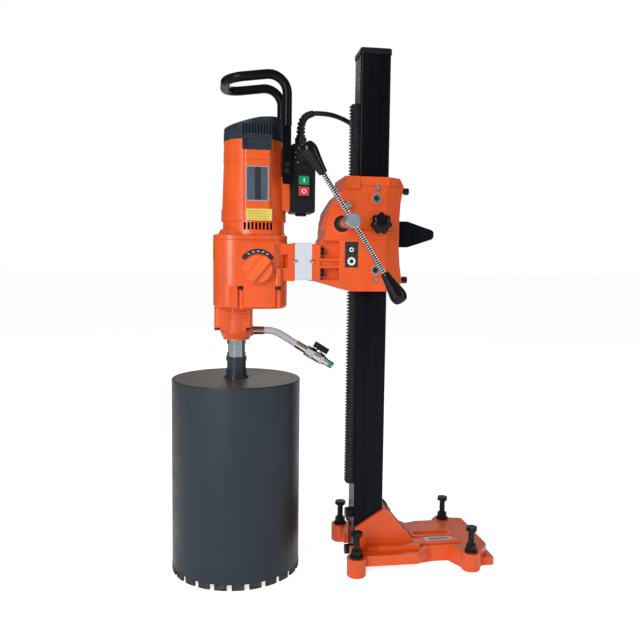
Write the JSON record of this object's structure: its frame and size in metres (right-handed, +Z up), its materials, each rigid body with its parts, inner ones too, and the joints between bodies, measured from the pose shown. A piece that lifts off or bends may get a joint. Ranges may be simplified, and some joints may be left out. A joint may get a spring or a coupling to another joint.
{
  "type": "core drill rig",
  "caption": "Upright core drill on a square column stand with a crank-fed rack carriage, water feed and a large core bit.",
  "frame": {"origin": "on the column's axis, at the floor", "axes": "+Z up along the column, +X away from the drill, -Y towards the crank"},
  "size_m": [0.6486, 0.4572, 1.03],
  "materials": {
    "orange_paint": "semi-gloss powder coat",
    "black_paint": "semi-gloss",
    "black_oxide": "black oxide, satin",
    "steel": "machined",
    "chrome": "polished",
    "aluminium": "satin",
    "brass": "plain",
    "black_plastic": "moulded",
    "gloss_black": "gloss",
    "pad_plastic": "plain",
    "orange_plastic": "moulded",
    "green_plastic": "moulded",
    "red_plastic": "moulded",
    "barrel_paint": "satin paint",
    "segment": "sintered",
    "copper": "wound wire and iron",
    "rubber": "matt",
    "clear_hose": "clear over braid"
  },
  "bodies": {
    "stand": {"base_casting": "orange_paint", "lock_nuts": "black_oxide", "column_tube": "black_paint", "column_cap": "black_plastic", "gear_rack": "black_oxide", "stand_screws": "black_oxide", "power_cord": "rubber", "cord_coil": "rubber", "mains_plug": "black_plastic"},
    "carriage": {"carriage_casting": "orange_paint", "guide_pads": "pad_plastic", "pad_adjusters": "chrome", "carriage_bolts": "black_oxide", "crank_bearings": "steel", "cord_hook": "black_paint", "key_pins": "steel", "spacer_block": "aluminium", "gearbox_housing": "orange_paint", "gearbox_cover": "orange_paint", "nose_housing": "orange_paint", "motor_housing": "orange_paint", "motor_cap": "black_plastic", "drill_screws": "black_oxide", "drill_bearings": "steel", "shaft_seals": "rubber", "stator": "copper", "brush_holder": "black_plastic", "brushes": "segment", "carry_handle": "black_plastic", "handle_brackets": "black_paint", "switch_box": "black_plastic", "strain_relief": "rubber", "hose_inlet": "brass", "water_hose": "clear_hose", "hose_ferrule": "chrome", "valve_body": "chrome", "valve_nipple": "brass"},
    "crank": {"crank_shaft": "chrome", "crank_hub": "steel", "crank_bar": "chrome", "crank_grips": "gloss_black"},
    "reduction": {"reduction_shaft": "steel"},
    "lock_knob": {"lock_knob": "gloss_black"},
    "spindle": {"spindle": "chrome", "spindle_gear": "steel", "bit_coupling": "barrel_paint", "bit_barrel": "barrel_paint", "bit_segments": "segment"},
    "layshaft": {"layshaft": "steel"},
    "armature": {"armature": "copper", "fan": "black_plastic"},
    "selector": {"selector_knob": "orange_plastic"},
    "speed_dial": {"speed_dial": "black_plastic"},
    "start_button": {"start_button": "green_plastic"},
    "stop_button": {"stop_button": "red_plastic"},
    "valve": {"valve_lever": "black_plastic"},
    "levelling_screw_1": {"levelling_screw_1": "black_oxide"},
    "levelling_screw_2": {"levelling_screw_2": "black_oxide"},
    "levelling_screw_3": {"levelling_screw_3": "black_oxide"},
    "levelling_screw_4": {"levelling_screw_4": "black_oxide"}
  },
  "joints": [
    {"name": "carriage_slide", "type": "slide", "parent": "stand", "child": "carriage", "axis": [0, 0, 1], "range_m": [-0.37, 0.21], "deforming": ["power_cord"]},
    {"name": "crank_turn", "type": "hinge", "parent": "carriage", "child": "crank", "pos_m": [-0.068, 0, 0.6873], "axis": [0, 1, 0], "range_deg": [-816, 463]},
    {"name": "reduction_turn", "type": "hinge", "parent": "carriage", "child": "reduction", "pos_m": [-0.05829, 0, 0.72352], "axis": [0, 1, 0], "range_deg": [-1191, 2098]},
    {"name": "lock_knob_turn", "type": "hinge", "parent": "carriage", "child": "lock_knob", "pos_m": [0.008, -0.06, 0.6888], "axis": [0, -1, 0], "range_deg": [0, 270]},
    {"name": "spindle_spin", "type": "hinge", "parent": "carriage", "child": "spindle", "pos_m": [-0.268, 0, 0.48], "axis": [0, 0, 1], "continuous": true},
    {"name": "layshaft_spin", "type": "hinge", "parent": "carriage", "child": "layshaft", "pos_m": [-0.23365, 0.0275, 0.6], "axis": [0, 0, 1], "continuous": true},
    {"name": "armature_spin", "type": "hinge", "parent": "carriage", "child": "armature", "pos_m": [-0.23365, 0, 0.74], "axis": [0, 0, 1], "continuous": true},
    {"name": "selector_turn", "type": "hinge", "parent": "carriage", "child": "selector", "pos_m": [-0.23, -0.07, 0.599], "axis": [0, -1, 0], "range_deg": [-60, 60]},
    {"name": "speed_dial_turn", "type": "hinge", "parent": "carriage", "child": "speed_dial", "pos_m": [-0.1415, -0.05, 0.8155], "axis": [0, -1, 0], "range_deg": [-135, 135]},
    {"name": "start_press", "type": "slide", "parent": "carriage", "child": "start_button", "axis": [0, 1, 0], "range_m": [0, 0.003], "stiffness_N_per_m": 500, "springref_m": -0.002},
    {"name": "stop_press", "type": "slide", "parent": "carriage", "child": "stop_button", "axis": [0, 1, 0], "range_m": [0, 0.003], "stiffness_N_per_m": 500, "springref_m": -0.002},
    {"name": "valve_turn", "type": "hinge", "parent": "carriage", "child": "valve", "pos_m": [-0.10713, 0, 0.42314], "axis": [0.5195, 0, 0.8545], "range_deg": [0, 90]},
    {"name": "levelling_1", "type": "slide", "parent": "stand", "child": "levelling_screw_1", "axis": [0, 0, 1], "range_m": [-0.015, 0.02]},
    {"name": "levelling_2", "type": "slide", "parent": "stand", "child": "levelling_screw_2", "axis": [0, 0, 1], "range_m": [-0.015, 0.02]},
    {"name": "levelling_3", "type": "slide", "parent": "stand", "child": "levelling_screw_3", "axis": [0, 0, 1], "range_m": [-0.015, 0.02]},
    {"name": "levelling_4", "type": "slide", "parent": "stand", "child": "levelling_screw_4", "axis": [0, 0, 1], "range_m": [-0.015, 0.02]}
  ],
  "couplings": [
    {"joint": "crank_turn", "follows": "carriage_slide", "rad_per_m": 38.462},
    {"joint": "reduction_turn", "follows": "carriage_slide", "rad_per_m": -98.901},
    {"joint": "layshaft_spin", "follows": "spindle_spin", "ratio": -3},
    {"joint": "armature_spin", "follows": "spindle_spin", "ratio": 10.2}
  ]
}
